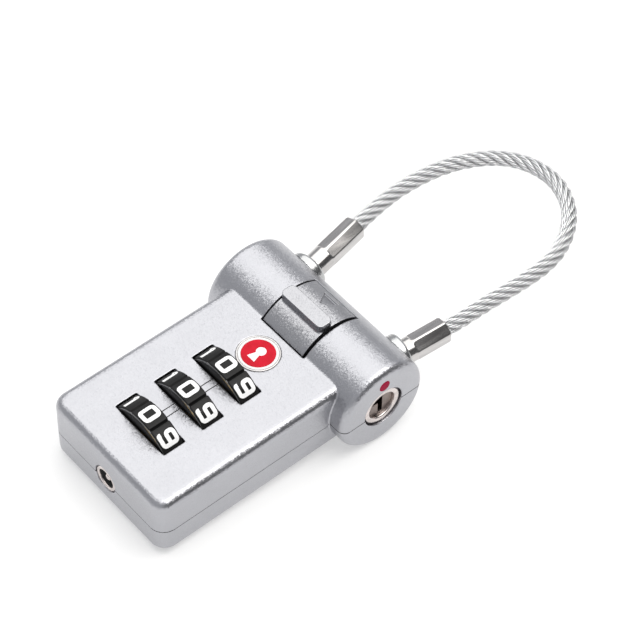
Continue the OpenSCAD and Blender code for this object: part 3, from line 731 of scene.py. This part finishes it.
def rounded(points, closed, radius=0.55, steps=6):
    """A line with its corners rounded."""
    n = len(points)
    out = []
    for i, p in enumerate(points):
        if not closed and i in (0, n - 1):
            out.append(p)
            continue
        p = Vector(p)
        back, on = Vector(points[i - 1]) - p, Vector(points[(i + 1) % n]) - p
        reach = min(radius, 0.48 * back.length, 0.48 * on.length)
        start, end = p + back.normalized() * reach, p + on.normalized() * reach
        for k in range(steps + 1):
            t = k / steps
            out.append(tuple((1 - t) ** 2 * start + 2 * t * (1 - t) * p + t * t * end))
    return out


def refined(points, closed, step=0.2):
    """A line with more points, so that it can bend round the wheel."""
    n = len(points)
    out = []
    for i in range(n if closed else n - 1):
        p, q = Vector(points[i]), Vector(points[(i + 1) % n])
        parts = max(1, int((q - p).length / step))
        out += [p + (q - p) * k / parts for k in range(parts)]
    if not closed:
        out.append(Vector(points[-1]))
    return out


def make_numbers(name, y_mid):
    """The ten numbers of a wheel, as strokes laid on its facets and filled with paint."""
    proud, sunk = 0.02, -0.08
    verts, faces = [], []
    for digit, strokes in GLYPHS.items():
        for kind, points in strokes:
            closed = kind == "loop"
            fine = refined(rounded(points, closed), closed)
            n = len(fine)
            start = len(verts)
            for i, p in enumerate(fine):
                before = fine[i - 1] if closed or i else p
                after = fine[(i + 1) % n] if closed or i < n - 1 else p
                way = (after - before).normalized()
                normal = Vector((-way.y, way.x))
                for side, lift in ((1, proud), (-1, proud), (-1, sunk), (1, sunk)):
                    q = p + normal * side * STROKE / 2
                    angle = -PITCH * digit + q.x / DIAL_R
                    r = facet_radius(angle) + lift
                    verts.append((r * math.sin(angle), y_mid + q.y, DIAL_Z + r * math.cos(angle)))
            for i in range(n if closed else n - 1):
                a, b = start + 4 * i, start + 4 * ((i + 1) % n)
                for k in range(4):
                    faces.append((a + k, a + (k + 1) % 4, b + (k + 1) % 4, b + k))
            if not closed:
                faces.append((start, start + 3, start + 2, start + 1))
                end = start + 4 * (n - 1)
                faces.append((end, end + 1, end + 2, end + 3))
    obj = mesh_object(name, verts, faces)
    sharp_by_angle(obj, 35)
    return obj


for i, y_mid in enumerate(DIAL_YS, start=1):
    body = f"dial_{i}"
    wheel = make_wheel(f"wheel_{i}", y_mid)
    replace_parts(give(wheel, body, DIAL), body)
    # the rim's lighter grey is a painted highlight on the black wheel's edge
    give(make_rim(f"wheel_{i}_rim", y_mid), body, DIAL_EDGE_HIGHLIGHT)
    give(make_numbers(f"wheel_{i}_numbers", y_mid), body, WHITE)


# ---------------------------------------------------------------- CAD nodes that stay
CARRIED = {
    "case_screws": SCREW, "detent_spring": SPRING, "spacers": SPRING, "eject_spring": SPRING,
    "latch_spring": SPRING, "spindle_spring": SPRING, "dial_hub_1": BRASS, "dial_hub_2": BRASS,
    "dial_hub_3": BRASS, "spindle": TURNED, "latch_drum": TURNED, "key_wafers": BRASS,
    "key_cam": TURNED, "key_clip": SPRING,
}
for node, material in CARRIED.items():
    mesh = bpy.data.objects[node].data
    mesh.materials.clear()
    mesh.materials.append(material)


# ---------------------------------------------------------------- floor and light
def make_floor():
    """The lock rests on its barrel and on the back of the first dial, so the floor tilts a little."""
    lean = math.atan2(DIAL_Z - DIAL_R, BARREL_Y - DIAL_YS[0])
    reach, gap = 900, 0.03
    verts = []
    for x, y in ((-reach, -reach), (reach, -reach), (reach, reach), (-reach, reach)):
        verts.append((x, y, -math.tan(lean) * (y - BARREL_Y) - gap))
    floor = mesh_object("floor", verts, [(0, 1, 2, 3)], smooth=False)
    made, tree, shader = start_material("floor_paper")
    grain = noise(tree, 60.0, 3.0)
    tone = ramp(tree, grain.outputs["Fac"], [(0.3, grey(0.58)), (0.7, grey(0.60))])
    tree.links.new(tone.outputs["Color"], shader.inputs["Base Color"])
    shader.inputs["Roughness"].default_value = 1.0
    shader.inputs["Specular IOR Level"].default_value = 0.0
    # lit through from below, as a white sweep table is
    shader.inputs["Emission Color"].default_value = (1.0, 1.0, 1.0, 1)
    shader.inputs["Emission Strength"].default_value = 0.42
    floor.data.materials.append(made)


def soft_light(name, at, size_x, size_y, radiance, target, colour):
    """A soft box that faces the lock, with its radiance."""
    data = bpy.data.lights.new(name, "AREA")
    data.shape, data.size, data.size_y = "RECTANGLE", size_x, size_y
    data.energy = radiance * math.pi * size_x * size_y
    data.color = colour
    light = bpy.data.objects.new(name, data)
    bpy.context.scene.collection.objects.link(light)
    light.location = at
    light.rotation_mode = "QUATERNION"
    light.rotation_quaternion = (Vector(target) - Vector(at)).to_track_quat("-Z", "Y")


def make_world():
    """Pale room that is darker low down on the side of the key end."""
    world = bpy.data.worlds.new("studio")
    bpy.context.scene.world = world
    world.use_nodes = True
    tree = world.node_tree
    coord = add_node(tree, "ShaderNodeTexCoord")
    along = add_node(tree, "ShaderNodeVectorMath", operation="DOT_PRODUCT")
    along.inputs[1].default_value = (0.90, 0.43, 0.05)
    tree.links.new(coord.outputs["Generated"], along.inputs[0])
    level = add_node(tree, "ShaderNodeMapRange", interpolation_type="SMOOTHSTEP")
    for name, value in (("From Min", 0.30), ("From Max", 0.80), ("To Min", 0.60), ("To Max", 0.12)):
        level.inputs[name].default_value = value
    tree.links.new(along.outputs["Value"], level.inputs["Value"])
    background = tree.nodes["Background"]
    background.inputs["Color"].default_value = (0.95, 0.965, 1.0, 1)
    tree.links.new(level.outputs["Result"], background.inputs["Strength"])


make_floor()
soft_light("overhead_box", (-0.24, 0.24, 0.60), 1.22, 0.98, 1.52, (-0.24, 0.24, 0.0), (1.0, 0.99, 0.955))
soft_light("right_box", (0.225, 0.22, 0.56), 0.33, 0.56, 2.5, (0.225, 0.22, 0.0), (1.0, 0.98, 0.95))
make_world()
bpy.context.scene.view_settings.view_transform = "Standard"
